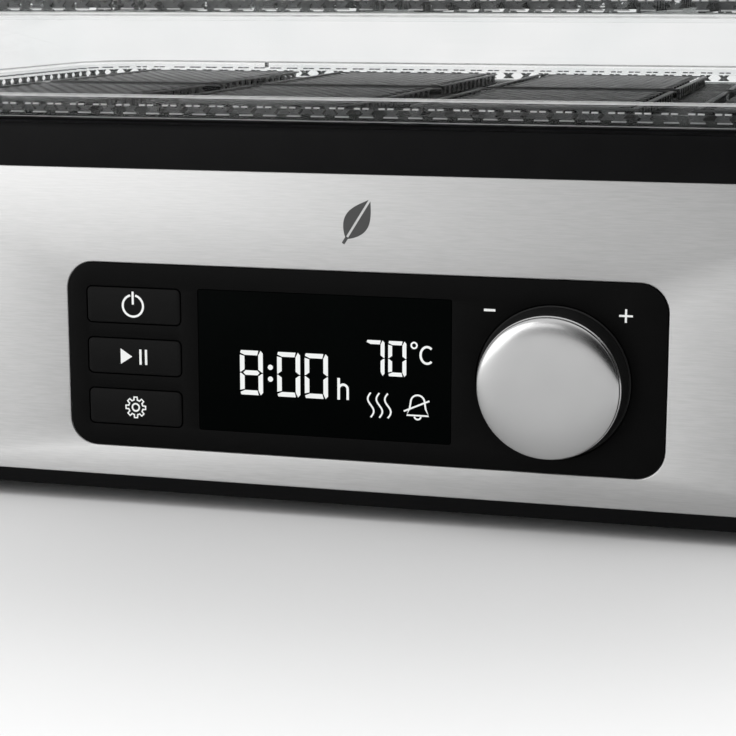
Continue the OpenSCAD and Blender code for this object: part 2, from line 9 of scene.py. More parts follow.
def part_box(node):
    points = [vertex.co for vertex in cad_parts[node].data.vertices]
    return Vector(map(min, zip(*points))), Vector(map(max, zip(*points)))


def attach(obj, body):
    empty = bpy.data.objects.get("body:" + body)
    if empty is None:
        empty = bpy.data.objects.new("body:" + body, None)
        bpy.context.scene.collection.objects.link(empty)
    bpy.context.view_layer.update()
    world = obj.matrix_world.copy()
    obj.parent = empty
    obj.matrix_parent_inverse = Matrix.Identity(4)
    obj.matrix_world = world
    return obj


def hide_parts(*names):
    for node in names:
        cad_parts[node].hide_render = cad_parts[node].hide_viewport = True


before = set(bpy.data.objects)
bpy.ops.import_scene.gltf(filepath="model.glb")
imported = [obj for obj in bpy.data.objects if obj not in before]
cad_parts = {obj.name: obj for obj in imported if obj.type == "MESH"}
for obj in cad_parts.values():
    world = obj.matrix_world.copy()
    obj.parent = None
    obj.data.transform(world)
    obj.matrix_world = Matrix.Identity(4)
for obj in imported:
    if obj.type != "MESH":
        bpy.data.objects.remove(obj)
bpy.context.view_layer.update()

# -------- sizes, in millimetres
TRAYS = 5
EDGE_STEPS = 3
CORNER_STEPS = 10


def cad(node):
    """A CAD node's lowest and highest corners, in millimetres."""
    low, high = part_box(node)
    return Vector(low) * 1000, Vector(high) * 1000


def centre(node):
    """The middle of a CAD node's box, in millimetres."""
    low, high = cad(node)
    return (low + high) / 2


STEEL_LOW, STEEL_HIGH = cad("steel_band")
PAN_LOW = cad("bottom_pan")[0]
FASCIA_LOW, FASCIA_HIGH = cad("control_fascia")
WINDOW_LOW, WINDOW_HIGH = cad("display_window")
CAP_LOW, CAP_HIGH = cad("knob_cap")
SKIRT_LOW, SKIRT_HIGH = cad("knob_skirt")
TRAY_LOW, TRAY_HIGH = cad("tray_1")
LID_LOW, LID_HIGH = cad("lid")

BODY_W = STEEL_HIGH.x - STEEL_LOW.x
BODY_D = STEEL_HIGH.y - STEEL_LOW.y
BODY_R = 28.0
STEEL_T = 1.0
DECK_TOP = cad("top_deck")[1].z
FRONT = -STEEL_LOW.y               # distance of the steel's face along -Y
FASCIA_FRONT = -FASCIA_LOW.y
FASCIA_W, FASCIA_H, FASCIA_R, FASCIA_Z = 154.7, 48.0, 7.0, centre("control_fascia").z
FLANGE_W, FLANGE_H = FASCIA_HIGH.x - FASCIA_LOW.x, FASCIA_HIGH.z - FASCIA_LOW.z
FLANGE_BACK = 115.2                # rear plane of the panel's flange along -Y
SKIRT_BACK = 117.35                # rear plane of the knob's skirt along -Y
WINDOW_W, WINDOW_H = WINDOW_HIGH.x - WINDOW_LOW.x, WINDOW_HIGH.z - WINDOW_LOW.z
BUTTONS = ("power_button", "start_button", "set_button")
BUTTON_W, BUTTON_H = 25.4, 9.2
BUTTON_SLOT_W, BUTTON_SLOT_H, BUTTON_SLOT_R = 25.9, 9.7, 1.5
PILLAR_X, PILLAR_Y = 140, 92       # screw pillars under the deck
PRINT_T = 0.03                     # a print's thickness
TRAY_W = TRAY_HIGH.x - TRAY_LOW.x
TRAY_D = TRAY_HIGH.y - TRAY_LOW.y
TRAY_R = 26.0
TRAY_PITCH = cad("tray_2")[0].z - TRAY_LOW.z
LID_BASE = DECK_TOP + TRAYS * TRAY_PITCH

# Looking at the front: local x is the row's X, local y is its Z, and local z comes out of the panel.
FACING_FRONT = Matrix(((1, 0, 0, 0), (0, 0, -1, 0), (0, 1, 0, 0), (0, 0, 0, 1)))
FACING_REAR = Matrix(((-1, 0, 0, 0), (0, 0, 1, 0), (0, 1, 0, 0), (0, 0, 0, 1)))
UPRIGHT = Matrix.Identity(4)


# -------- outlines

def rounded_rect(w, d, r, cx=0.0, cy=0.0, steps=CORNER_STEPS):
    """A function from an offset to the rounded rectangle's points, grown by that offset."""
    def at(offset=0.0):
        radius = max(r + offset, 0.01)
        half_w, half_d = w / 2 + offset - radius, d / 2 + offset - radius
        points = []
        for quarter, (sx, sy) in enumerate(((1, 1), (-1, 1), (-1, -1), (1, -1))):
            for step in range(steps + 1):
                a = (quarter + step / steps) * math.pi / 2
                x, y = cx + sx * half_w, cy + sy * half_d
                points.append((x + radius * math.cos(a), y + radius * math.sin(a)))
        return points
    return at


BODY_OUTLINE = rounded_rect(BODY_W, BODY_D, BODY_R)
TRAY_OUTLINE = rounded_rect(TRAY_W, TRAY_D, TRAY_R)


def disc(r, cx=0.0, cy=0.0, steps=96):
    """A function from an offset to the circle's points, grown by that offset."""
    def at(offset=0.0):
        angles = [2 * math.pi * k / steps for k in range(steps)]
        return [(cx + (r + offset) * math.cos(a), cy + (r + offset) * math.sin(a)) for a in angles]
    return at


def arc(cx, cy, r, start, end, steps=24):
    """Points along a circular arc, angles in degrees."""
    angles = [math.radians(start + (end - start) * k / steps) for k in range(steps + 1)]
    return [(cx + r * math.cos(a), cy + r * math.sin(a)) for a in angles]


def level(points, z):
    """Flat points raised to a height."""
    return [(x, y, z) for x, y in points]


def edge_stack(outline, low, high, edge):
    """Loops down a plate's side, its top edge rounded by edge; a negative edge opens a hole's rim."""
    loops = []
    for step in range(EDGE_STEPS + 1):
        a = math.pi / 2 * step / EDGE_STEPS
        loops.append(level(outline(-edge * (1 - math.sin(a))), high - abs(edge) * (1 - math.cos(a))))
    loops.append(level(outline(), low))
    return loops


# -------- solids

def add_loop(bm, points):
    """One vertex for each point."""
    return [bm.verts.new(p) for p in points]


def bridge(bm, first, second, slot=0, closed=True):
    """Quads between two rows of as many vertices."""
    count = len(first)
    for k in range(count if closed else count - 1):
        n = (k + 1) % count
        bm.faces.new((first[k], first[n], second[n], second[k])).material_index = slot


def fill_between(bm, loops, slot=0):
    """Fills a flat face bounded by one outer loop and any number of holes."""
    edges = []
    for loop in loops:
        for k, v in enumerate(loop):
            pair = (v, loop[(k + 1) % len(loop)])
            edges.append(bm.edges.get(pair) or bm.edges.new(pair))
    made = bmesh.ops.triangle_fill(bm, use_beauty=True, use_dissolve=False, edges=edges)
    for face in made["geom"]:
        if isinstance(face, bmesh.types.BMFace):
            face.material_index = slot


def add_plate(bm, side, holes=(), slot=0):
    """A plate from stacks of loops: each stack starts in the top plane and ends in the bottom plane."""
    tops, bottoms = [], []
    for stack in (side, *holes):
        rows = [add_loop(bm, loop) for loop in stack]
        for upper, lower in zip(rows, rows[1:]):
            bridge(bm, upper, lower, slot)
        tops.append(rows[0])
        bottoms.append(rows[-1])
    fill_between(bm, tops, slot)
    fill_between(bm, bottoms, slot)


def add_rings(bm, rings):
    """A closed tube round the Z axis through rings of (outline, inset, height)."""
    rows = [add_loop(bm, level(outline(-inset), z)) for outline, inset, z in rings]
    for upper, lower in zip(rows, rows[1:] + rows[:1]):
        bridge(bm, upper, lower)


def rounded_profile(corners):
    """A closed outline of (a, b, radius) corners, each turned on its own radius."""
    points = []
    count = len(corners)
    for k, (a, b, radius) in enumerate(corners):
        here = Vector((a, b))
        back = (Vector(corners[k - 1][:2]) - here).normalized()
        ahead = (Vector(corners[(k + 1) % count][:2]) - here).normalized()
        if radius <= 0 or abs(back.dot(ahead)) > 0.999:
            points.append(here)
            continue
        half = math.acos(max(-1.0, min(1.0, back.dot(ahead)))) / 2
        reach = radius / math.tan(half)
        middle = here + (back + ahead).normalized() * radius / math.sin(half)
        start, end = here + back * reach - middle, here + ahead * reach - middle
        turn = start.angle_signed(end)
        for step in range(EDGE_STEPS + 1):
            spin = Matrix.Rotation(-turn * step / EDGE_STEPS, 2)
            points.append(middle + spin @ start)
    return [(p.x, p.y) for p in points]


def add_lathe(bm, profile, cx=0.0, cy=0.0, steps=96, closed=False):
    """Turns (radius, height) points round the local Z axis at (cx, cy)."""
    rows = []
    for r, z in profile:
        if r < 1e-6:
            rows.append([bm.verts.new((cx, cy, z))])
        else:
            rows.append(add_loop(bm, level(disc(r, cx, cy, steps)(), z)))
    for first, second in zip(rows, rows[1:] + rows[:1] if closed else rows[1:]):
        if len(first) == 1 and len(second) == 1:
            continue
        if len(first) == 1 or len(second) == 1:
            tip, ring = (first[0], second) if len(first) == 1 else (second[0], first)
            for k, v in enumerate(ring):
                bm.faces.new((tip, v, ring[(k + 1) % len(ring)]))
        else:
            bridge(bm, first, second)


def add_prism(bm, outline, low, high):
    """A straight prism on a simple polygon."""
    top, bottom = add_loop(bm, level(outline, high)), add_loop(bm, level(outline, low))
    bridge(bm, top, bottom)
    bm.faces.new(top)
    bm.faces.new(bottom[::-1])


def add_ribbon(bm, points, width, low, high, closed=False):
    """A stroke of even width along points, as thin as high - low."""
    count = len(points)
    left, right = [], []
    for k, p in enumerate(points):
        before = points[k - 1] if closed or k else p
        after = points[(k + 1) % count] if closed or k < count - 1 else p
        ahead = (Vector(after) - Vector(before)).normalized()
        across = Vector((-ahead.y, ahead.x)) * width / 2
        left.append(tuple(Vector(p) + across))
        right.append(tuple(Vector(p) - across))
    rows = [add_loop(bm, level(side, z)) for side, z in
            ((left, high), (right, high), (right, low), (left, low))]
    for first, second in zip(rows, rows[1:] + rows[:1]):
        bridge(bm, first, second, closed=closed)
    if not closed:
        for end in (0, -1):
            bm.faces.new([row[end] for row in rows])


def make(bm, name, body, materials, nodes=(), place=UPRIGHT, smooth_below=32):
    """Turns the mesh into a named piece, in metres, that rides on a body and stands for CAD nodes."""
    bmesh.ops.recalc_face_normals(bm, faces=bm.faces)
    bm.transform(Matrix.Scale(0.001, 4) @ place)
    mesh = bpy.data.meshes.new(name)
    bm.to_mesh(mesh)
    bm.free()
    mesh.shade_smooth()
    mesh.set_sharp_from_angle(angle=math.radians(smooth_below))
    for material in materials:
        mesh.materials.append(material)
    return place_piece(mesh, name, body, nodes)


def place_piece(mesh, name, body, nodes, lift=0.0):
    """Puts a mesh in the scene, lifted by metres, and says what it rides on and stands for."""
    piece = bpy.data.objects.new(name, mesh)
    piece.location.z = lift
    bpy.context.collection.objects.link(piece)
    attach(piece, body)
    if nodes:
        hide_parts(*nodes)
    return piece


# -------- materials

def set_values(node, values):
    """Sets a shader node's unlinked inputs."""
    for name, value in values.items():
        node.inputs[name].default_value = value


class Shader:
    """A node material with an object-space noise that its sockets can read."""

    def __init__(self, name):
        self.material = bpy.data.materials.new(name)
        self.material.use_nodes = True
        self.tree = self.material.node_tree
        self.nodes, self.links = self.tree.nodes, self.tree.links
        self.nodes.clear()
        self.output = self.nodes.new("ShaderNodeOutputMaterial")

    def add(self, kind, **values):
        node = self.nodes.new(kind)
        for key, value in values.items():
            setattr(node, key, value)
        return node

    def noise(self, scale, detail=3.0, roughness=0.55):
        """Noise over object coordinates; scale is cells a metre along X, Y and Z."""
        coords = self.add("ShaderNodeTexCoord")
        mapping = self.add("ShaderNodeMapping")
        mapping.inputs["Scale"].default_value = scale
        noise = self.add("ShaderNodeTexNoise")
        set_values(noise, {"Scale": 1.0, "Detail": detail, "Roughness": roughness})
        self.links.new(coords.outputs["Object"], mapping.inputs["Vector"])
        self.links.new(mapping.outputs["Vector"], noise.inputs["Vector"])
        return noise.outputs["Fac"]

    def spread(self, source, low, high, start=0.3, end=0.7):
        """The source from start to end, stretched to run from low to high."""
        node = self.add("ShaderNodeMapRange")
        set_values(node, {"From Min": start, "From Max": end, "To Min": low, "To Max": high})
        self.links.new(source, node.inputs["Value"])
        return node.outputs["Result"]

    def blend_colours(self, source, first, second):
        """A colour that drifts between two with the source."""
        node = self.add("ShaderNodeMix", data_type="RGBA")
        node.inputs["A"].default_value = (*first, 1)
        node.inputs["B"].default_value = (*second, 1)
        self.links.new(self.spread(source, 0, 1), node.inputs["Factor"])
        return node.outputs["Result"]

    def bump(self, source, height, strength=1.0):
        """A bump of that height in metres."""
        node = self.add("ShaderNodeBump")
        set_values(node, {"Distance": height, "Strength": strength})
        self.links.new(source, node.inputs["Height"])
        return node.outputs["Normal"]

    def principled(self, **values):
        node = self.add("ShaderNodeBsdfPrincipled")
        for key, value in values.items():
            socket = node.inputs[key]
            if isinstance(value, bpy.types.NodeSocket):
                self.links.new(value, socket)
            else:
                socket.default_value = value
        return node.outputs["BSDF"]

    def see_through(self, tint, solid, share):
        """Lets light through, tinted, beside a solid share of the surface; share is a number or a socket."""
        clear = self.add("ShaderNodeBsdfTransparent")
        self.links.new(tint, clear.inputs["Color"])
        mix = self.add("ShaderNodeMixShader")
        if isinstance(share, bpy.types.NodeSocket):
            self.links.new(share, mix.inputs["Fac"])
        else:
            mix.inputs["Fac"].default_value = share
        self.links.new(clear.outputs["BSDF"], mix.inputs[1])
        self.links.new(solid, mix.inputs[2])
        return mix.outputs["Shader"]

    def done(self, surface):
        self.links.new(surface, self.output.inputs["Surface"])
        return self.material


def shades(colour, spread):
    """A colour's darker and lighter neighbours."""
    return [max(c * (1 - spread), 0) for c in colour], [min(c * (1 + spread), 1) for c in colour]


def moulded(name, colour, roughness=0.4, spread=0.12, grain=900, height=4e-6, metallic=0.0, stretch=(1, 1, 1),
            specular=0.5):
    """Moulded, cast or plated surface: even colour, fine grain in its colour, roughness and relief."""
    shader = Shader(name)
    fine = shader.noise([grain * s for s in stretch])
    broad = shader.noise([grain * s / 12 for s in stretch], detail=2)
    return shader.done(shader.principled(**{
        "Base Color": shader.blend_colours(broad, *shades(colour, spread)),
        "Roughness": shader.spread(fine, roughness * 0.88, roughness * 1.12),
        "Metallic": metallic,
        "Specular IOR Level": specular,
        "Normal": shader.bump(fine, height),
    }))


def brushed_steel():
    """Steel brushed level round the base: long fine lines, with broader soft streaks."""
    shader = Shader("brushed_steel")
    lines = shader.noise((200, 200, 3600), detail=2, roughness=0.6)
    tangent = shader.add("ShaderNodeTangent", direction_type="RADIAL", axis="Z")
    return shader.done(shader.principled(**{
        "Base Color": shader.blend_colours(lines, (0.42, 0.42, 0.418), (0.48, 0.48, 0.478)),
        "Metallic": 1.0,
        "Roughness": shader.spread(lines, 0.39, 0.45),
        "Anisotropic": 0.8,
        "Anisotropic Rotation": 0.25,
        "Tangent": tangent.outputs["Tangent"],
        "Normal": shader.bump(lines, 2e-6, 0.3),
    }))


def knob_metal():
    """Satin turned aluminium, polished enough to hold a soft reflection."""
    shader = Shader("knob_metal")
    fine = shader.noise((1800, 1800, 1800))
    broad = shader.noise((60, 60, 60), detail=2)
    return shader.done(shader.principled(**{
        "Base Color": shader.blend_colours(broad, (0.40, 0.40, 0.40), (0.43, 0.43, 0.43)),
        "Metallic": 1.0,
        "Roughness": shader.spread(fine, 0.16, 0.20),
        "Normal": shader.bump(fine, 5e-7),
    }))


def clear_wall():
    """Clear plastic that hardly shows face on and mirrors its surroundings at a slant."""
    shader = Shader("clear_wall")
    haze = shader.noise((40, 40, 40), detail=2)
    tint = shader.blend_colours(haze, (0.965, 0.97, 0.97), (0.985, 0.985, 0.985))
    gloss = shader.add("ShaderNodeBsdfGlossy")
    shader.links.new(shader.spread(haze, 0.02, 0.05), gloss.inputs["Roughness"])
    slant = shader.add("ShaderNodeLayerWeight")
    slant.inputs["Blend"].default_value = 0.5
    steep = shader.add("ShaderNodeMath", operation="POWER")
    steep.inputs[1].default_value = 5.0
    shader.links.new(slant.outputs["Facing"], steep.inputs[0])
    share = shader.spread(steep.outputs["Value"], 0.006, 0.9, 0, 1)
    return shader.done(shader.see_through(tint, gloss.outputs["BSDF"], share))


def clear_rib(name, through, colour, roughness, share, specular=0.5):
    """Ribbed clear plastic: its many edges scatter light, so only part of what is behind it shows."""
    shader = Shader(name)
    flow = shader.noise((260, 260, 260), detail=3)
    tint = shader.blend_colours(flow, *shades(through, 0.15))
    solid = shader.principled(**{
        "Base Color": shader.blend_colours(flow, *shades(colour, 0.15)),
        "Roughness": shader.spread(flow, roughness * 0.7, roughness * 1.3),
        "IOR": 1.5,
        "Specular IOR Level": specular,
        "Normal": shader.bump(flow, 6e-5, 0.4),
    })
    return shader.done(shader.see_through(tint, solid, share))


def lit_print(name, colour, strength):
    """Lit display marks, a little uneven as backlit marks are."""
    shader = Shader(name)
    uneven = shader.noise((300, 300, 300), detail=1)
    glow = shader.add("ShaderNodeEmission")
    shader.links.new(shader.blend_colours(uneven, *shades(colour, 0.02)), glow.inputs["Color"])
    glow.inputs["Strength"].default_value = strength
    return shader.done(glow.outputs["Emission"])


def circuit_board():
    """Green circuit board with a lighter grid of tracks."""
    shader = Shader("circuit_board")
    coords = shader.add("ShaderNodeTexCoord")
    tracks = shader.add("ShaderNodeTexBrick")
    set_values(tracks, {
        "Scale": 90,
        "Mortar Size": 0.06,
        "Color1": (0.015, 0.10, 0.045, 1),
        "Color2": (0.012, 0.085, 0.04, 1),
        "Mortar": (0.03, 0.17, 0.075, 1),
    })
    shader.links.new(coords.outputs["Object"], tracks.inputs["Vector"])
    fine = shader.noise((600, 600, 600))
    return shader.done(shader.principled(**{
        "Base Color": tracks.outputs["Color"],
        "Roughness": shader.spread(fine, 0.3, 0.4),
    }))


STEEL = brushed_steel()
KNOB = knob_metal()
BLACK = moulded("black_plastic", (0.0026, 0.0026, 0.0028), 0.42, grain=1500, height=5e-6, specular=0.055)
PANEL = moulded("panel_black", (0.0017, 0.0017, 0.0017), 0.5, grain=2200, height=1e-6, specular=0.05)
KEY = moulded("button_black", (0.0024, 0.0024, 0.0024), 0.5, grain=2200, height=1e-6, specular=0.08)
SKIRT = moulded("skirt_black", (0.009, 0.009, 0.009), 0.45, grain=2200, height=1e-6, specular=0.2)
GLASS = moulded("display_black", (0.0004, 0.0008, 0.0007), 0.3, grain=800, height=2e-7, specular=0.012)
RUBBER = moulded("rubber", (0.018, 0.018, 0.018), 0.75, grain=1100, height=1e-5)
ZINC = moulded("zinc_steel", (0.50, 0.51, 0.52), 0.34, 0.15, 260, 3e-6, 1.0)
MOTOR = moulded("motor_steel", (0.16, 0.16, 0.17), 0.45, 0.15, 500, 6e-6, 0.6, (0.2, 0.2, 3))
GREY = moulded("grey_plastic", (0.19, 0.19, 0.20), 0.45)
TAPE = moulded("coil_tape", (0.62, 0.46, 0.06), 0.38, 0.2, 500, 8e-6, 0.0, (0.1, 0.1, 4))
RELAY = moulded("relay_blue", (0.02, 0.09, 0.42), 0.3)
TERMINAL = moulded("terminal_green", (0.03, 0.24, 0.08), 0.45)
MICA = moulded("mica", (0.48, 0.40, 0.25), 0.55, 0.3, 300, 2e-5)
WIRE = moulded("heater_wire", (0.22, 0.19, 0.17), 0.5, 0.35, 900, 1e-5, 0.8)
CERAMIC = moulded("ceramic_white", (0.66, 0.65, 0.61), 0.35)
BOARD = circuit_board()
CLEAR = clear_wall()
RIB = clear_rib("clear_rib", (0.62, 0.63, 0.63), (0.11, 0.113, 0.114), 0.35, 0.7, 0.2)
# A darker copy of the ribbed plastic: painted shade on inward faces, undersides and the low floor between
# islands.
PAINTED_SHADE = clear_rib("clear_painted_shade", (0.72, 0.74, 0.73), (0.035, 0.037, 0.036), 0.35, 0.35, 0.04)
# A lighter copy of the ribbed plastic: painted highlights on edges, rims, sills, lugs and pegs.
PAINTED_HIGHLIGHT = clear_rib("clear_painted_highlight", (0.8, 0.8, 0.8), (0.62, 0.62, 0.62), 0.18, 0.72)
LIT = lit_print("lit_marks", (0.93, 0.95, 0.94), 0.95)
WHITE_PRINT = moulded("white_print", (0.86, 0.87, 0.86), 0.5, 0.03)
DARK_PRINT = moulded("dark_print", (0.03, 0.03, 0.03), 0.45, 0.1)

CAD_FINISHES = {
    BLACK: ["bottom_pan", "outlet_grille", "fan_impeller"],
    ZINC: ["encoder_body", "encoder_shaft", "air_duct", "motor_bracket", "motor_shaft", "temp_sensor",
           "case_screws", "duct_screws", "board_screws", "power_board_screws", "motor_screws",
           "bracket_screws", "grip_screws"],
    GREY: ["lcd_module", "tact_switches", "filter_capacitor", "ribbon_cable"],
    BOARD: ["display_board", "power_board"],
    MOTOR: ["fan_motor"],
    TAPE: ["transformer"],
    RELAY: ["relay"],
    TERMINAL: ["terminal_block"],
    MICA: ["heater_frame"],
    WIRE: ["heater_coil"],
    CERAMIC: ["thermal_cutout"],
}


def finish_cad_nodes():
    """Gives each CAD node that stays in view its own material."""
    for material, names in CAD_FINISHES.items():
        for name in names:
            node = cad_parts[name]
            if not node.material_slots:
                node.data.materials.append(material)
            for slot in node.material_slots:
                slot.link = "OBJECT"
                slot.material = material


# -------- base

def build_steel_sleeve():
    """The brushed sleeve, with rounded rims and a bevelled opening for the control panel."""
    z0, z1, rim = STEEL_LOW.z, STEEL_HIGH.z, 0.35
    bm = bmesh.new()
    profile = rounded_profile([(0, z0, rim), (0, z1, rim), (STEEL_T, z1, 0.2), (STEEL_T, z0, 0.2)])
    add_rings(bm, [(BODY_OUTLINE, inset, z) for inset, z in profile])
    opening = rounded_rect(FASCIA_W + 0.2, FASCIA_H + 0.2, FASCIA_R + 0.1, 0, FASCIA_Z)
    stack = edge_stack(opening, FRONT - STEEL_T, FRONT, -0.4)
    rows = [add_loop(bm, [(x, -w, z) for x, z, w in loop]) for loop in stack]
    for first, second in zip(rows, rows[1:]):
        bridge(bm, first, second)
    bm.faces.ensure_lookup_table()
    for depth, row in ((FRONT, rows[0]), (FRONT - STEEL_T, rows[-1])):
        wall = next(f for f in bm.faces if len(f.verts) == 4 and f.calc_area() > BODY_W * 10
                    and all(abs(v.co.y + depth) < 1e-4 for v in f.verts))
        border = [loop.vert for loop in wall.loops]
        bmesh.ops.delete(bm, geom=[wall], context="FACES_ONLY")
        fill_between(bm, [border, row])
    make(bm, "steel_sleeve", "base", [STEEL], ["steel_band"])


def build_deck():
    """The black rim the trays stand on, the recessed deck inside it, and the skirt and pillars below."""
    bm = bmesh.new()
    z0, z1 = STEEL_HIGH.z, DECK_TOP
    body, tray, shell = BODY_OUTLINE, TRAY_OUTLINE, 3
    rebate_z, recess_z, recess_w, recess_d, recess_r = z1 - 2.5, z1 - 10, 296, 196, 20
    recess = rounded_rect(recess_w, recess_d, recess_r)
    add_rings(bm, [
        (body, 0, z0), (body, 0, z1 - 2.2), (body, 0.2, z1 - 1.5), (body, 0.5, z1 - 1.05),
        (body, 1.1, z1 - 0.8),
        (tray, 0.3, z1 - 0.6), (tray, 0.8, z1), (tray, 1.6, z1), (tray, 2, z1 - 0.4), (tray, 2, rebate_z),
        (recess, -0.8, rebate_z), (recess, 0, rebate_z - 0.8), (recess, 0, recess_z - 1),
        (recess, -shell, recess_z - 1), (recess, -shell, rebate_z - shell),
        (body, shell, rebate_z - shell), (body, shell, z0),
    ])
    floor = edge_stack(rounded_rect(recess_w + 1, recess_d + 1, recess_r), recess_z - shell, recess_z, 0.1)
    holes = [edge_stack(disc(60), recess_z - shell, recess_z, -0.5),
             edge_stack(disc(2.6, 95), recess_z - shell, recess_z, -0.2)]
    add_plate(bm, floor, holes)
    skirt_top, skirt_end = z0 + 1.9, z0 - 10
    add_rings(bm, [(body, 1.2, skirt_top), (body, 1.2, skirt_end),
                   (body, 3.6, skirt_end), (body, 3.6, skirt_top)])
    foot, head = PAN_LOW.z + 3.6, recess_z - 2
    for sx in (-1, 1):
        for sy in (-1, 1):
            add_lathe(bm, [(1.6, foot), (4.5, foot), (4.5, head), (1.6, head)], sx * PILLAR_X, sy * PILLAR_Y,
                      steps=24, closed=True)
    make(bm, "deck", "base", [BLACK], ["top_deck"])


def build_feet():
    """Four rubber feet: a dished sole, a rounded rim and the stem that plugs into the pan."""
    bm = bmesh.new()
    high = cad("rubber_feet")[1]
    r, stem_r = 9, 3
    x, y = high.x - r, high.y - r
    sole = [(0, 0.5), (r - 2.8, 0.5), (r - 2.2, 0), (r - 0.8, 0), (r - 0.2, 0.35), (r, 1),
            (r - 0.3, PAN_LOW.z), (stem_r, PAN_LOW.z), (stem_r, high.z), (0, high.z)]
    for sx in (-1, 1):
        for sy in (-1, 1):
            add_lathe(bm, sole, sx * x, sy * y, steps=48)
    make(bm, "feet", "base", [RUBBER], ["rubber_feet"])


def build_gland():
    """The ribbed bush that the mains lead would enter by."""
    low, high = cad("cable_gland")
    mid = centre("cable_gland")
    bm = bmesh.new()
    inner, outer, face = 3.6, high.y, BODY_D / 2
    ribs = []
    for k in range(4):
        y = face + 2.6 + k * 1.6
        r = 7.7 - (y - face - 2) * 0.3
        ribs += [(r, y), (r, y + 0.8), (r - 0.7, y + 0.9), (r - 0.9, y + 1.5)]
    profile = [(inner, low.y), (10.5, low.y), (10.5, face - 1), (8, face - 1), (8, face), (10.6, face),
               (11, face + 0.4), (11, face + 1.6), (10.6, face + 2), (8, face + 2)] + ribs
    profile += [(5.6, outer), (inner + 0.4, outer), (inner, outer - 0.4)]
    add_lathe(bm, profile, -mid.x, mid.z, steps=64, closed=True)
    make(bm, "lead_bush", "base", [RUBBER], ["cable_gland"], FACING_REAR)


# -------- control panel

def button_centre(node):
    """A button's centre across and up."""
    return centre(node).x, centre(node).z


def build_fascia():
    """The black panel: a flush face with five openings, on a wider flange behind the steel."""
    bm = bmesh.new()
    flange_front = FRONT - STEEL_T
    slots = [rounded_rect(BUTTON_SLOT_W, BUTTON_SLOT_H, BUTTON_SLOT_R, *button_centre(n), steps=6)
             for n in BUTTONS]
    window_mid = centre("display_window")
    window = rounded_rect(WINDOW_W + 0.2, WINDOW_H + 0.2, 0.6, window_mid.x, window_mid.z, steps=4)
    ledge = rounded_rect(WINDOW_W - 4.2, WINDOW_H - 4.2, 0.6, window_mid.x, window_mid.z, steps=4)
    knob_mid = centre("knob_skirt")
    recess = disc(19.3, knob_mid.x, knob_mid.z)
    bush = disc(4.6, knob_mid.x, knob_mid.z)
    face = rounded_rect(FASCIA_W, FASCIA_H, FASCIA_R, 0, FASCIA_Z)
    face_back = flange_front - 0.1
    openings = [edge_stack(s, face_back, FASCIA_FRONT, -0.15) for s in slots]
    openings += [edge_stack(s, face_back, FASCIA_FRONT, -0.1) for s in (window, recess)]
    add_plate(bm, edge_stack(face, face_back, FASCIA_FRONT, 0.3), openings)
    flange = rounded_rect(FLANGE_W, FLANGE_H, FASCIA_R + 3.65, 0, FASCIA_Z)
    add_plate(bm, edge_stack(flange, FLANGE_BACK, flange_front, 0.1),
              [edge_stack(s, FLANGE_BACK, flange_front, -0.05) for s in (*slots, ledge, bush)])
    boss_root, boss_tip = FLANGE_BACK + 0.2, FLANGE_BACK - 8.8
    for x in (-77, 77):
        for z in (19.5, 60.0):
            boss = [(1.2, boss_tip), (2.5, boss_tip), (2.5, boss_root), (1.2, boss_root)]
            add_lathe(bm, boss, x, z, steps=24, closed=True)
    make(bm, "panel", "base", [PANEL], ["control_fascia"], FACING_FRONT)


def build_window():
    """The gloss display window, set flush in the panel."""
    mid = centre("display_window")
    bm = bmesh.new()
    outline = rounded_rect(WINDOW_W, WINDOW_H, 0.5, mid.x, mid.z, steps=4)
    add_plate(bm, edge_stack(outline, -WINDOW_HIGH.y, FASCIA_FRONT - 0.02, 0.12))
    make(bm, "display_glass", "base", [GLASS], ["display_window"], FACING_FRONT)


def build_button(node):
    """A push button: a soft-edged key cap, its retaining flange and the plunger behind it."""
    low, high = cad(node)
    x, z = button_centre(node)
    front, flange, tip = -low.y - 0.02, FLANGE_BACK - 0.1, -high.y
    bm = bmesh.new()
    cap = rounded_rect(BUTTON_W, BUTTON_H, 1.25, x, z, steps=6)
    add_plate(bm, edge_stack(cap, flange - 0.4, front, 0.3))
    stop = rounded_rect(high.x - low.x, high.z - low.z, 1.5, x, z, steps=6)
    add_plate(bm, edge_stack(stop, flange - 1, flange, 0.1))
    plunger = [(0, flange - 0.5), (1.5, flange - 0.5), (1.5, tip + 0.3), (1.2, tip), (0, tip)]
    add_lathe(bm, plunger, x, z, steps=24)
    make(bm, node.replace("_button", "_key"), node, [KEY], [node], FACING_FRONT)


def print_layer(front):
    """Low and high planes of a thin print on a face."""
    return front - 0.02, front + PRINT_T


SEGMENTS = {"0": "abcdef", "7": "abc", "8": "abcdefg"}


def segment_outlines(x, z, w, h, t, gap):
    """The seven bars of a digit whose lower left corner is (x, z), as outlines with mitred ends."""
    mid = h / 2
    bars = {
        "a": [(gap, h), (w - t * 0.75 - gap, h), (w - t - gap, h - t), (t + gap * 0.4, h - t),
              (gap * 0.3, h - t * 0.55)],
        "b": [(w - t * 0.5, h), (w, h - t * 0.55), (w, mid + gap * 0.5), (w - t * 0.2, mid + gap * 0.5),
              (w - t, mid + t * 0.7), (w - t, h - t)],
        "g": [(t * 0.5 + gap, mid), (t + gap, mid + t / 2), (w - t - gap, mid + t / 2),
              (w - t * 0.5 - gap, mid), (w - t - gap, mid - t / 2), (t + gap, mid - t / 2)],
        "f": [(0, h - t * 0.75 - gap), (0, mid + gap * 0.5), (t * 0.2, mid + gap * 0.5), (t, mid + t * 0.7),
              (t, h - t - gap)],
    }
    bars["c"] = [(px, h - pz) for px, pz in bars["b"]][::-1]
    bars["e"] = [(px, h - pz) for px, pz in bars["f"]][::-1]
    bars["d"] = [(px, h - pz) for px, pz in bars["a"]][::-1]
    return {name: [(x + px, z + pz) for px, pz in outline] for name, outline in bars.items()}


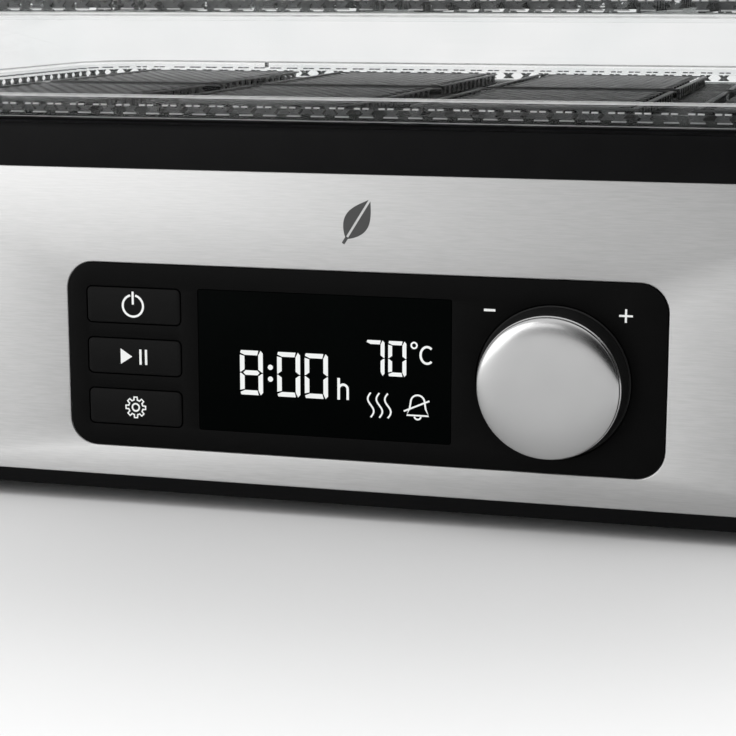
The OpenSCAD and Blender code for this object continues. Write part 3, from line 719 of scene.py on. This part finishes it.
def add_digits(bm, digits, z, w, h, t, gap, low, high):
    """Lit seven-bar digits, each given as its name and left edge."""
    for digit, x in digits:
        bars = segment_outlines(x, z, w, h, t, gap)
        for name in SEGMENTS[digit]:
            add_prism(bm, bars[name], low, high)


def build_display_marks():
    """Lit digits and symbols: the time, the temperature, heat waves and a muted bell."""
    low, high = print_layer(FASCIA_FRONT)
    bm = bmesh.new()
    add_digits(bm, (("8", -30.6), ("0", -20.7), ("0", -13.4)), 31.2, 6.1, 11.5, 1.2, 0.28, low, high)
    for z in (38.6, 35.55):
        add_prism(bm, disc(0.68, -22.5, z, 24)(), low, high)
    add_digits(bm, (("7", 2.75), ("0", 8.35)), 37.95, 4.65, 8.95, 1.0, 0.22, low, high)
    thin = 0.42
    add_ribbon(bm, [(-4.5, 31.25), (-4.5, 36.8)], 0.68, low, high)
    add_ribbon(bm, arc(-3.3, 34.0, 1.15, 165, 0, 16) + [(-2.15, 31.3)], 0.62, low, high)
    add_ribbon(bm, disc(0.72, 14.97, 46.05, 32)(), thin, low, high, closed=True)
    letter_c = [(18.3 + 1.6625 * dx, 43.7 + 2.1 * dz) for dx, dz in arc(0, 0, 1, 48, 312, 28)]
    add_ribbon(bm, letter_c, 0.58, low, high)
    steps = [k / 24 for k in range(25)]
    for x in (3.85, 6.08, 8.27):
        wave = [(x - 0.78 * math.sin(2 * math.pi * t), 33.5 - 6.3 * t) for t in steps]
        add_ribbon(bm, wave, thin, low, high)
    bell_x, foot = 15.95, 28.3
    side = [(13.15, foot), (13.9, 30.05), (14.15, 31.6)]
    crown = arc(bell_x, 31.7, 1.78, 180, 0, 20)
    other = [(2 * bell_x - px, pz) for px, pz in side[::-1]]
    add_ribbon(bm, side + crown[1:-1] + other, thin, low, high, closed=True)
    add_ribbon(bm, arc(bell_x, 28.15, 0.85, 190, 350, 12), thin, low, high)
    add_ribbon(bm, [(12.4, 29.25), (18.95, 32.15)], thin, low, high)
    make(bm, "display_marks", "base", [LIT], (), FACING_FRONT)


def build_key_marks():
    """White marks on the keys, one piece on each: on and off, start and pause, and a cog for settings."""
    front = -cad("power_button")[0].y - 0.02
    low, high = print_layer(front)
    x, z = button_centre("power_button")
    bm = bmesh.new()
    add_ribbon(bm, arc(x - 0.15, z - 0.05, 2.78, 104, 436, 48), 0.56, low, high)
    add_ribbon(bm, [(x - 0.15, z + 0.3), (x - 0.15, z + 3.65)], 0.58, low, high)
    make(bm, "power_mark", "power_button", [WHITE_PRINT], (), FACING_FRONT)

    x, z = button_centre("start_button")
    bm = bmesh.new()
    add_prism(bm, [(x - 3.85, z - 2.05), (x - 0.65, z), (x - 3.85, z + 2.05)], low, high)
    for px in (1.62, 3.15):
        add_ribbon(bm, [(x + px, z - 2.0), (x + px, z + 2.0)], 0.62, low, high)
    make(bm, "start_mark", "start_button", [WHITE_PRINT], (), FACING_FRONT)

    x, z = button_centre("set_button")
    bm = bmesh.new()
    teeth, inner, outer = 8, 2.0, 2.75
    rim = []
    for k in range(teeth):
        for turn, r in ((-0.30, inner), (-0.20, outer), (0.20, outer), (0.30, inner)):
            a = 2 * math.pi * (k + turn) / teeth
            rim.append((x + r * math.cos(a), z + r * math.sin(a)))
    add_ribbon(bm, rim, 0.45, low, high, closed=True)
    add_ribbon(bm, disc(0.95, x, z, 32)(), 0.45, low, high, closed=True)
    make(bm, "set_mark", "set_button", [WHITE_PRINT], (), FACING_FRONT)


def build_panel_marks():
    """The minus and plus beside the knob, and a plain leaf on the steel above the panel."""
    low, high = print_layer(FASCIA_FRONT)
    bm = bmesh.new()
    add_ribbon(bm, [(32.5, 55.75), (35.35, 55.75)], 0.6, low, high)
    add_ribbon(bm, [(65.6, 55.75), (68.9, 55.75)], 0.5, low, high)
    for z0, z1 in ((54.1, 55.5), (56.0, 57.4)):
        add_ribbon(bm, [(67.25, z0), (67.25, z1)], 0.5, low, high)
    make(bm, "knob_marks", "base", [WHITE_PRINT], (), FACING_FRONT)

    bm = bmesh.new()
    low, high = print_layer(FRONT)
    tilt, half, fat = math.radians(58), 5.6, 2.9
    middle_x, middle_z = 0.5, 76.9

    def placed(along, across):
        """A point of the tilted leaf on the panel."""
        return (middle_x + along * math.cos(tilt) - across * math.sin(tilt),
                middle_z + along * math.sin(tilt) + across * math.cos(tilt))

    for side in (-1, 1):
        outline = []
        for k in range(25):
            t = k / 24
            outline.append(((2 * t - 1) * half, side * (0.28 + fat * math.sin(math.pi * t ** 0.85))))
        outline += [(half, side * 0.28), (-half, side * 0.28)]
        add_prism(bm, [placed(*point) for point in outline], low, high)
    add_ribbon(bm, [placed(-half - 1.6, 0), placed(0.4 - half, 0)], 0.8, low, high)
    make(bm, "leaf_mark", "base", [DARK_PRINT], (), FACING_FRONT)


def build_knob():
    """The knob: a satin metal cap with a domed face and polished rim, over a black flared skirt."""
    mid = centre("knob_cap")
    r, face, back = (CAP_HIGH.x - CAP_LOW.x) / 2, -CAP_LOW.y, -CAP_HIGH.y
    dome_r, bead = r - 0.5, 0.4
    bm = bmesh.new()
    profile = [(0, face)]
    for k in range(1, 37):
        t = k / 36
        profile.append((dome_r * t, face - 0.72 * t ** 5.5 - 0.3 * t ** 24))
    profile += [(dome_r + 0.15, face - 1.25), (dome_r + 0.15, back + 2 * bead + 0.1)]
    profile += [(r - bead + bead * math.cos(a), back + bead + bead * math.sin(a))
                for a in [math.radians(70 - 20 * k) for k in range(9)]]
    profile += [(r - 1.15, back), (r - 1.15, face - 1.6), (0, face - 1.6)]
    add_lathe(bm, profile, mid.x, mid.z, steps=160)
    make(bm, "knob_face", "knob", [KNOB], ["knob_cap"], FACING_FRONT, smooth_below=50)

    bm = bmesh.new()
    bore, wide = 3.04, (SKIRT_HIGH.x - SKIRT_LOW.x) / 2
    profile = [(bore, SKIRT_BACK), (wide - 0.2, SKIRT_BACK), (wide, SKIRT_BACK + 0.25), (wide, FASCIA_FRONT),
               (wide - 0.25, FASCIA_FRONT + 0.25), (r - 0.35, back - 0.05), (r - 1.25, back - 0.05),
               (r - 1.25, face - 1.65), (bore, face - 1.65)]
    add_lathe(bm, profile, mid.x, mid.z, steps=128, closed=True)
    make(bm, "knob_flare", "knob", [SKIRT], ["knob_skirt"], FACING_FRONT)


# -------- trays

# Tray material slots: clear wall, ribbed plastic, a lighter copy that paints highlights and a darker copy
# that paints shade.
WALL, RIBBED, PAINTED_HIGHLIGHT_SLOT, PAINTED_SHADE_SLOT = 0, 1, 2, 3
CELL, CROSS_W, LUG_W, CORNER_CELLS = 6.3, 3.8, 1.6, 6
ISLAND_W, ISLAND_D, ISLAND_TOP, ISLAND_UNDER = 58.0, 88.0, 3.5, 3.05
ISLAND_PITCH_X, ISLAND_PITCH_Y = 72.0, 98.0
HOLE_PITCH, OPEN_SHARE = 4.4, 0.42
WEB_LOW, WEB_HIGH = 0.4, 0.7
LEDGE = 6.1                        # height of the ledge inside the wall
LATTICE_LOW, LATTICE_HIGH = 1.2, 3.15


def cross_outline(x, z0, z1):
    """A bow-tie cross CROSS_W wide whose left edge is x."""
    mid, arm, notch, waist = (z0 + z1) / 2, 1.5, 0.45, 1.0
    right = x + CROSS_W
    return [(x, z0), (x + arm, z0), (x + CROSS_W / 2, z0 + notch), (right - arm, z0), (right, z0),
            (right - waist, mid), (right, z1), (right - arm, z1), (x + CROSS_W / 2, z1 - notch),
            (x + arm, z1), (x, z1), (x + waist, mid)]


def add_wall_prism(bm, outline, inner, outer, turn, slot=RIBBED, outer_slot=None):
    """A prism on an (along, up) outline, from the inner to the outer distance, turned about Z.

    The face towards the inside takes the darker copy of the clear plastic: painted shade.
    """
    rows = []
    for distance in (inner, outer):
        points = [turn @ Vector((along, -distance, up)) for along, up in outline]
        rows.append(add_loop(bm, points))
    bridge(bm, rows[0], rows[1], slot)
    bm.faces.new(rows[0]).material_index = PAINTED_SHADE_SLOT
    bm.faces.new(rows[1][::-1]).material_index = slot if outer_slot is None else outer_slot


def box_outline(x0, x1, z0, z1):
    """A rectangle's corners."""
    return [(x0, z0), (x1, z0), (x1, z1), (x0, z1)]


def add_lattice(bm, length, inner, outer, turn, low, high):
    """Crosses along a wall of that length, from one height to another."""
    count = int(length / CELL)
    start = -(count * CELL - (CELL - CROSS_W)) / 2
    for k in range(count):
        x = start + k * CELL
        add_wall_prism(bm, cross_outline(x, low, high), inner, outer, turn)


def quarter_turn(k):
    """The turn from the front wall to the wall k quarters round."""
    return Matrix.Rotation(k * math.pi / 2, 3, "Z")


def add_tray_walls(bm, corners, slot_at):
    """A tube on a tray's outline, from (inset, height, radius) corners; slot_at picks each band's slot."""
    profile = rounded_profile(corners)
    rows = [add_loop(bm, level(TRAY_OUTLINE(-inset), z)) for inset, z in profile]
    for k, (inset, z) in enumerate(profile):
        n = (k + 1) % len(profile)
        bridge(bm, rows[k], rows[n], slot_at((inset + profile[n][0]) / 2, (z + profile[n][1]) / 2))


def add_tray_shell(bm):
    """Outer wall with its proud skirt, the ledge inside it, the basket wall and the locating lip."""
    top = TRAY_HIGH.z - DECK_TOP
    lip_low, under = TRAY_LOW.z - DECK_TOP, LEDGE - 1
    corners = [
        (0, 0.3, 0.3), (0, LEDGE, 0.5), (1.0, LEDGE, 0.2), (1.0, top, 0.5), (2.3, top, 0.4),
        (2.3, LEDGE, 0.6), (6.0, LEDGE, 0.5), (6.0, 3.1, 0.1), (4.7, 3.1, 0.1), (4.7, under, 0.3),
        (4.0, under, 0.2), (4.0, lip_low, 0), (2.6, lip_low, 0), (2.6, under, 0.2), (1.4, under, 0.3),
        (1.4, 0.3, 0.1),
    ]

    def slot_at(inset, z):
        """Painted highlight on the ledge's edge, the bottom edge and the rim."""
        on_step = inset <= 1.05 and 5.5 <= z <= 6.2 or inset <= 0.5 and z <= 0.65
        on_top = inset <= 1.6 and z > top - 0.45
        return PAINTED_HIGHLIGHT_SLOT if on_step or on_top else WALL

    add_tray_walls(bm, corners, slot_at)


def add_vent_cell(bm, x, plane, turn):
    """One cell of the vent band: a cross, the sill below it and two lugs above; sill and lugs take a painted
    highlight outside and painted shade inside.
    """
    right = x + CROSS_W
    add_wall_prism(bm, cross_outline(x, LATTICE_LOW, LATTICE_HIGH), plane - 5.6, plane - 4.8, turn)
    sill = box_outline(x + 0.1, right - 0.1, LATTICE_LOW - 0.05, LATTICE_LOW + 0.3)
    add_wall_prism(bm, sill, plane - 4.8, plane - 4.5, turn, RIBBED, PAINTED_HIGHLIGHT_SLOT)
    for start in (x, right - LUG_W):
        lug = box_outline(start, start + LUG_W, 3.52, 3.9)
        add_wall_prism(bm, lug, plane - 1.5, plane - 0.01, turn, RIBBED, PAINTED_HIGHLIGHT_SLOT)


def add_tray_basket(bm):
    """The vent band under the ledge, along the four walls and round the four corners."""
    for k in range(4):
        turn = quarter_turn(k)
        across, reach = (TRAY_W, TRAY_D) if k % 2 == 0 else (TRAY_D, TRAY_W)
        count = int((across - 2 * TRAY_R) / CELL)
        for cell in range(count):
            add_vent_cell(bm, cell * CELL - (count * CELL - (CELL - CROSS_W)) / 2, reach / 2, turn.to_4x4())
        middle = turn @ Vector((across / 2 - TRAY_R, -(reach / 2 - TRAY_R), 0))
        for cell in range(CORNER_CELLS):
            angle = math.pi / 2 * (k + (cell + 0.5) / CORNER_CELLS)
            place = Matrix.Translation(middle) @ Matrix.Rotation(angle, 4, "Z")
            add_vent_cell(bm, -CROSS_W / 2, TRAY_R, place)


def add_tray_pegs(bm):
    """Two small locating pegs on the front wall and two on the rear."""
    for k in (0, 2):
        for x in (-98, 98):
            # Each peg's outer face takes the painted highlight, its inner face the painted shade.
            add_wall_prism(bm, box_outline(x - 0.5, x + 0.5, 3.95, 5.6), TRAY_D / 2 - 1.6, TRAY_D / 2 - 0.02,
                           quarter_turn(k), RIBBED, PAINTED_HIGHLIGHT_SLOT)


def island_centres():
    """The middles of the drying islands: four columns in two rows."""
    for i in (-1.5, -0.5, 0.5, 1.5):
        for j in (-0.5, 0.5):
            yield i * ISLAND_PITCH_X, j * ISLAND_PITCH_Y


def add_tray_web(bm):
    """The low floor between the drying islands, in the darker copy of the clear plastic: painted shade
    between them.
    """
    floor = edge_stack(rounded_rect(TRAY_W - 10.4, TRAY_D - 10.4, TRAY_R - 5.2), WEB_LOW, WEB_HIGH, 0.2)
    holes = [edge_stack(rounded_rect(ISLAND_W - 3, ISLAND_D - 3, 4, cx, cy, steps=4), WEB_LOW, WEB_HIGH, -0.2)
             for cx, cy in island_centres()]
    add_plate(bm, floor, holes, PAINTED_SHADE_SLOT)


def add_perforated(bm, w, d, low, high, pitch, open_share):
    """A sheet of hexagonal holes, centred, that stops inside w by d."""
    outer_r = pitch / math.sqrt(3)
    inner_r = outer_r * open_share
    row_pitch = outer_r * 1.5
    rows, columns = int((d / 2 - outer_r) / row_pitch), int((w / 2 - pitch) / pitch)
    shared, borders = {}, {}

    def corner(x, y, z):
        key = (round(x, 2), round(y, 2), z)
        if key not in shared:
            shared[key] = bm.verts.new((x, y, z))
        return shared[key]

    for row in range(-rows, rows + 1):
        for column in range(-columns, columns + 1):
            cx, cy = (column + 0.5 * (row % 2)) * pitch, row * row_pitch
            turn = [math.radians(60 * k + 30) for k in range(6)]
            rim = [(cx + outer_r * math.cos(a), cy + outer_r * math.sin(a)) for a in turn]
            hole = [(cx + inner_r * math.cos(a), cy + inner_r * math.sin(a)) for a in turn]
            ring = {}
            for z in (low, high):
                outer = [corner(x, y, z) for x, y in rim]
                inner = add_loop(bm, level(hole, z))
                ring[z] = outer, inner
                # Top faces take the ribbed material, undersides the darker copy: painted shade under the
                # sheet.
                bridge(bm, outer, inner, RIBBED if z == high else PAINTED_SHADE_SLOT)
            bridge(bm, ring[low][1], ring[high][1], RIBBED)
            for k in range(6):
                n = (k + 1) % 6
                side = (ring[low][0][k], ring[low][0][n], ring[high][0][n], ring[high][0][k])
                borders.setdefault(frozenset(side), []).append(side)
    for found in borders.values():
        if len(found) == 1:
            bm.faces.new(found[0]).material_index = RIBBED


def build_island_mesh():
    """One raised drying surface: a perforated top in a frame, on four lattice walls."""
    bm = bmesh.new()
    frame_w, overlap, recess = 1.4, 2.4, 0.05
    add_perforated(bm, ISLAND_W - 2 * frame_w + overlap, ISLAND_D - 2 * frame_w + overlap,
                   ISLAND_UNDER + recess, ISLAND_TOP - recess, HOLE_PITCH, OPEN_SHARE)
    rim = edge_stack(rounded_rect(ISLAND_W, ISLAND_D, 2.0, steps=4), ISLAND_UNDER, ISLAND_TOP, 0.15)
    hole = edge_stack(rounded_rect(ISLAND_W - 2 * frame_w, ISLAND_D - 2 * frame_w, 1.0, steps=4),
                      ISLAND_UNDER, ISLAND_TOP, -0.1)
    add_plate(bm, rim, [hole], RIBBED)
    for k in range(4):
        across, reach = (ISLAND_W, ISLAND_D) if k % 2 == 0 else (ISLAND_D, ISLAND_W)
        plane = reach / 2
        add_lattice(bm, across - 3, plane - 1.1, plane - 0.2, quarter_turn(k),
                    WEB_HIGH - 0.2, ISLAND_UNDER + 0.2)
    mesh = bpy.data.meshes.new("island")
    bm.to_mesh(mesh)
    bm.free()
    return mesh


def build_trays():
    """All trays share one mesh: the shell, the vent band, the web and eight islands."""
    bm = bmesh.new()
    add_tray_shell(bm)
    add_tray_basket(bm)
    add_tray_web(bm)
    island = build_island_mesh()
    for cx, cy in island_centres():
        first = len(bm.verts)
        bm.from_mesh(island)
        bm.verts.ensure_lookup_table()
        bmesh.ops.translate(bm, verts=bm.verts[first:], vec=(cx, cy, 0))
    bpy.data.meshes.remove(island)
    add_tray_pegs(bm)
    # The third material paints highlights on edges and rims, the fourth paints shade on inward faces,
    # undersides and the web.
    lowest = make(bm, "tray_body_1", "tray_1", [CLEAR, RIB, PAINTED_HIGHLIGHT, PAINTED_SHADE], ["tray_1"],
                  Matrix.Translation((0, 0, DECK_TOP)))
    for k in range(2, TRAYS + 1):
        place_piece(lowest.data, f"tray_body_{k}", f"tray_{k}", [f"tray_{k}"],
                    lift=(k - 1) * TRAY_PITCH / 1000)


# -------- lid

def build_lid():
    """The clear lid: a skirt like a tray's, a step and a crowned top with an opening for the vent."""
    bm = bmesh.new()
    step, top = LID_BASE + 12, LID_HIGH.z
    lip_low = LID_LOW.z
    corners = [(0, LID_BASE + 0.3, 0.3), (0, step, 1.2), (4, step, 0.4), (4, top - 1.2, 0), (6, top - 1.2, 0),
               (6, step - 2, 0.3), (3.9, step - 2, 0.3), (3.9, lip_low, 0.4), (2.6, lip_low, 0.4),
               (2.6, LID_BASE + 2, 0.2), (1.9, LID_BASE + 2, 0.2), (1.9, LID_BASE + 0.3, 0.3)]
    painted_highlight_slot = 1
    # The step takes the lighter copy of the clear plastic: a painted highlight along it.
    add_tray_walls(bm, corners, lambda inset, z: painted_highlight_slot if inset < 4.2 and abs(z - step) < 0.7 else WALL)
    cover = edge_stack(rounded_rect(TRAY_W - 8.1, TRAY_D - 8.1, TRAY_R - 4), top - 2, top, 1.1)
    vent = edge_stack(rounded_rect(122, 50, 10), top - 2, top, -0.3)
    add_plate(bm, cover, [vent])
    make(bm, "lid_shell", "lid", [CLEAR, PAINTED_HIGHLIGHT], ["lid"])


def build_vent():
    """The black vent plate: two rows of slots, with soft edges."""
    low, high = cad("lid_vent")
    plug_w, plug_d, plug_r, flange = 121.6, 49.6, 9.8, high.z - 2
    bm = bmesh.new()
    slots = [rounded_rect(4.2, 14, 2.0, (k - 5) * 10, s * 16, steps=5) for k in range(11) for s in (-1, 1)]
    slots += [disc(1.7, s * 38, 0, 24) for s in (-1, 1)]
    plate = edge_stack(rounded_rect(high.x - low.x, high.y - low.y, 17), flange, high.z, 0.8)
    add_plate(bm, plate, [edge_stack(s, flange, high.z, -0.4) for s in slots])
    plug = edge_stack(rounded_rect(plug_w, plug_d, plug_r), low.z, flange + 0.1, 0.05)
    add_plate(bm, plug, [edge_stack(s, low.z, flange + 0.1, -0.02) for s in slots])
    make(bm, "vent_plate", "lid", [BLACK], ["lid_vent"])


def build_grip():
    """The black grip on the lid, with rounded ends and a soft crown."""
    low, high = cad("lid_grip")
    w, d = high.x - low.x, high.y - low.y
    bm = bmesh.new()
    add_plate(bm, edge_stack(rounded_rect(w, d, d / 2 - 0.1, steps=16), low.z, high.z, 2.6))
    make(bm, "grip", "lid", [BLACK], ["lid_grip"], smooth_below=45)


# -------- stage, lights and camera

BRIGHT_SIDE = (-0.72, 0.64, 0.27)


def build_stage():
    """A pale floor, wide soft lights and a pale surrounding."""
    shader = Shader("floor")
    soft = shader.noise((3, 3, 3), detail=2)
    material = shader.done(shader.principled(**{
        "Base Color": shader.blend_colours(soft, (0.80, 0.80, 0.80), (0.83, 0.83, 0.83)),
        "Roughness": 0.55,
        "Specular IOR Level": 0.2,
    }))
    mesh = bpy.data.meshes.new("floor")
    reach = 40
    corners = [(-reach, -reach, 0), (reach, -reach, 0), (reach, reach, 0), (-reach, reach, 0)]
    mesh.from_pydata(corners, [], [(0, 1, 2, 3)])
    mesh.materials.append(material)
    floor = bpy.data.objects.new("floor", mesh)
    bpy.context.collection.objects.link(floor)

    world = bpy.data.worlds.new("surroundings")
    world.use_nodes = True
    nodes, links = world.node_tree.nodes, world.node_tree.links
    nodes["Background"].inputs["Color"].default_value = (1, 1, 1, 1)
    coords = nodes.new("ShaderNodeTexCoord")
    towards = nodes.new("ShaderNodeVectorMath")
    towards.operation = "DOT_PRODUCT"
    towards.inputs[1].default_value = BRIGHT_SIDE
    links.new(coords.outputs["Generated"], towards.inputs[0])
    fall = nodes.new("ShaderNodeMapRange")
    fall.interpolation_type = "SMOOTHSTEP"
    set_values(fall, {"From Min": -0.75, "From Max": -0.2, "To Min": 0.03, "To Max": 1.24})
    links.new(towards.outputs["Value"], fall.inputs["Value"])
    seen = nodes.new("ShaderNodeLightPath")
    shown = nodes.new("ShaderNodeMix")
    shown.inputs["B"].default_value = 0.86
    links.new(seen.outputs["Is Camera Ray"], shown.inputs["Factor"])
    links.new(fall.outputs["Result"], shown.inputs["A"])
    links.new(shown.outputs["Result"], nodes["Background"].inputs["Strength"])
    bpy.context.scene.world = world


def add_softbox(name, place, size, watts):
    """A rectangular soft light turned to the object, in metres, that no camera sees."""
    lamp = bpy.data.lights.new(name, "AREA")
    lamp.shape = "RECTANGLE"
    lamp.size, lamp.size_y = size
    lamp.energy = watts
    box = bpy.data.objects.new(name, lamp)
    box.location = place
    box.rotation_euler = (Vector((0, 0, 0.1)) - Vector(place)).to_track_quat("-Z", "Y").to_euler()
    box.visible_camera = False
    bpy.context.collection.objects.link(box)


def add_camera():
    """The view from a little above, right of the middle, close to the control panel."""
    azimuth, pitch = math.radians(15.15), math.radians(11.16)
    right = Vector((math.cos(azimuth), math.sin(azimuth), 0))
    level_out = Vector((-math.sin(azimuth), math.cos(azimuth), 0))
    ahead = level_out * math.cos(pitch) - Vector((0, 0, math.sin(pitch)))
    up = right.cross(ahead)
    lens = bpy.data.cameras.new("camera")
    lens.lens = 94.7
    lens.sensor_width = 36
    lens.clip_start, lens.clip_end = 0.01, 200
    camera = bpy.data.objects.new("camera", lens)
    turn = Matrix((right, up, -ahead)).transposed()
    camera.matrix_world = Matrix.Translation((0.1272, -0.5764, 0.1334)) @ turn.to_4x4()
    bpy.context.collection.objects.link(camera)
    bpy.context.scene.camera = camera


add_camera()
finish_cad_nodes()
build_steel_sleeve()
build_deck()
build_feet()
build_gland()
build_fascia()
build_window()
for button in BUTTONS:
    build_button(button)
build_display_marks()
build_key_marks()
build_panel_marks()
build_knob()
build_trays()
build_lid()
build_vent()
build_grip()
build_stage()
add_softbox("overhead", (0.1, 0.95, 1.4), (1.8, 1.2), 22)
add_softbox("left_front", (-0.95, -1.2, 0.46), (1.2, 0.9), 6.6)
add_softbox("front_strip", (-0.3, -1.5, 0.42), (0.5, 0.3), 0.4)

scene = bpy.context.scene
scene.view_settings.view_transform = "Standard"
scene.cycles.transparent_max_bounces = 64
